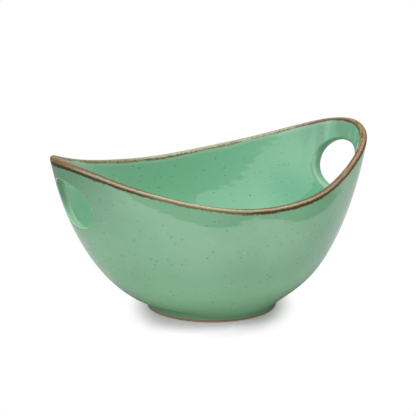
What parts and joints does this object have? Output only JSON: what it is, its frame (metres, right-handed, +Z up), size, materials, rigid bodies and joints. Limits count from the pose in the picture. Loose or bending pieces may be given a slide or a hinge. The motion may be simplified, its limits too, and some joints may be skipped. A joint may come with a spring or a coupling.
{
  "type": "handled serving bowl",
  "caption": "Oval stoneware serving bowl on a low foot ring, with a lip that rises to a finger opening at each end for carrying.",
  "frame": {"origin": "on the table, under the middle of the foot ring", "axes": "+Z up, +X along the length through the right-hand finger opening, +Y across the width"},
  "size_m": [0.2598, 0.186, 0.1299],
  "materials": {
    "bare_clay": "unglazed fired clay, matte",
    "green_glaze": "glossy mint-green reactive glaze with small dark specks",
    "brown_glaze": "glossy iron-brown band, mottled, breaking to tan and olive"
  },
  "bodies": {
    "root": {"stoneware_bowl": "bare_clay", "foot_ring": "bare_clay", "outside_glaze": "green_glaze", "inside_glaze": "green_glaze", "left_opening_glaze": "green_glaze", "right_opening_glaze": "green_glaze", "base_glaze": "green_glaze", "lip_band": "brown_glaze", "foot_band": "brown_glaze"}
  },
  "joints": []
}
